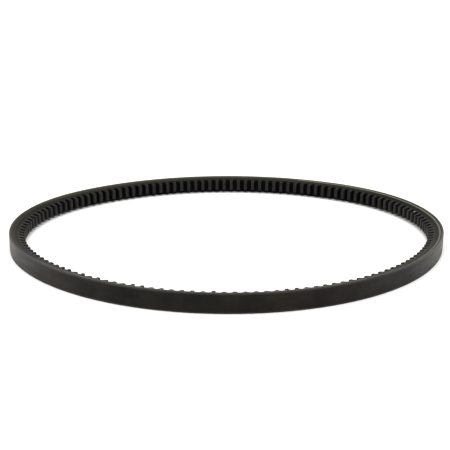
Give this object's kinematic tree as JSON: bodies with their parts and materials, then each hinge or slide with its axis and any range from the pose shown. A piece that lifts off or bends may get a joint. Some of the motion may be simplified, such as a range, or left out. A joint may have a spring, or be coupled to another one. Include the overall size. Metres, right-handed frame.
{
  "type": "v-belt",
  "caption": "Raw-edge cogged V-belt: an endless flexible loop of tapered section with moulded cogs inside, for driving grooved pulleys.",
  "frame": {"origin": "middle of the loop, on the plane that the belt lies on", "axes": "+Z along the loop's own axis, upwards from the plane the belt lies on; +X along the loop's long way"},
  "size_m": [0.2348, 0.2112, 0.0097],
  "materials": {
    "backing_fabric": "rubber-impregnated bias-cut weave, dull black",
    "tension_rubber": "cut edge, matt, olive black",
    "adhesion_gum": "cut edge, matt",
    "tensile_cord": "twisted polyester, dipped, light tan where it is cut through",
    "compression_rubber": "fibre-loaded, ground flank, matt",
    "cog_rubber": "moulded, matt, ground flank"
  },
  "bodies": {
    "root": {"backing_fabric_outer_ply": "backing_fabric", "backing_fabric_inner_ply": "backing_fabric", "tension_rubber": "tension_rubber", "upper_adhesion_gum": "adhesion_gum", "tensile_cord_s_twist": "tensile_cord", "tensile_cord_z_twist": "tensile_cord", "lower_adhesion_gum": "adhesion_gum", "compression_rubber": "compression_rubber", "cog_pad": "cog_rubber"}
  },
  "joints": []
}
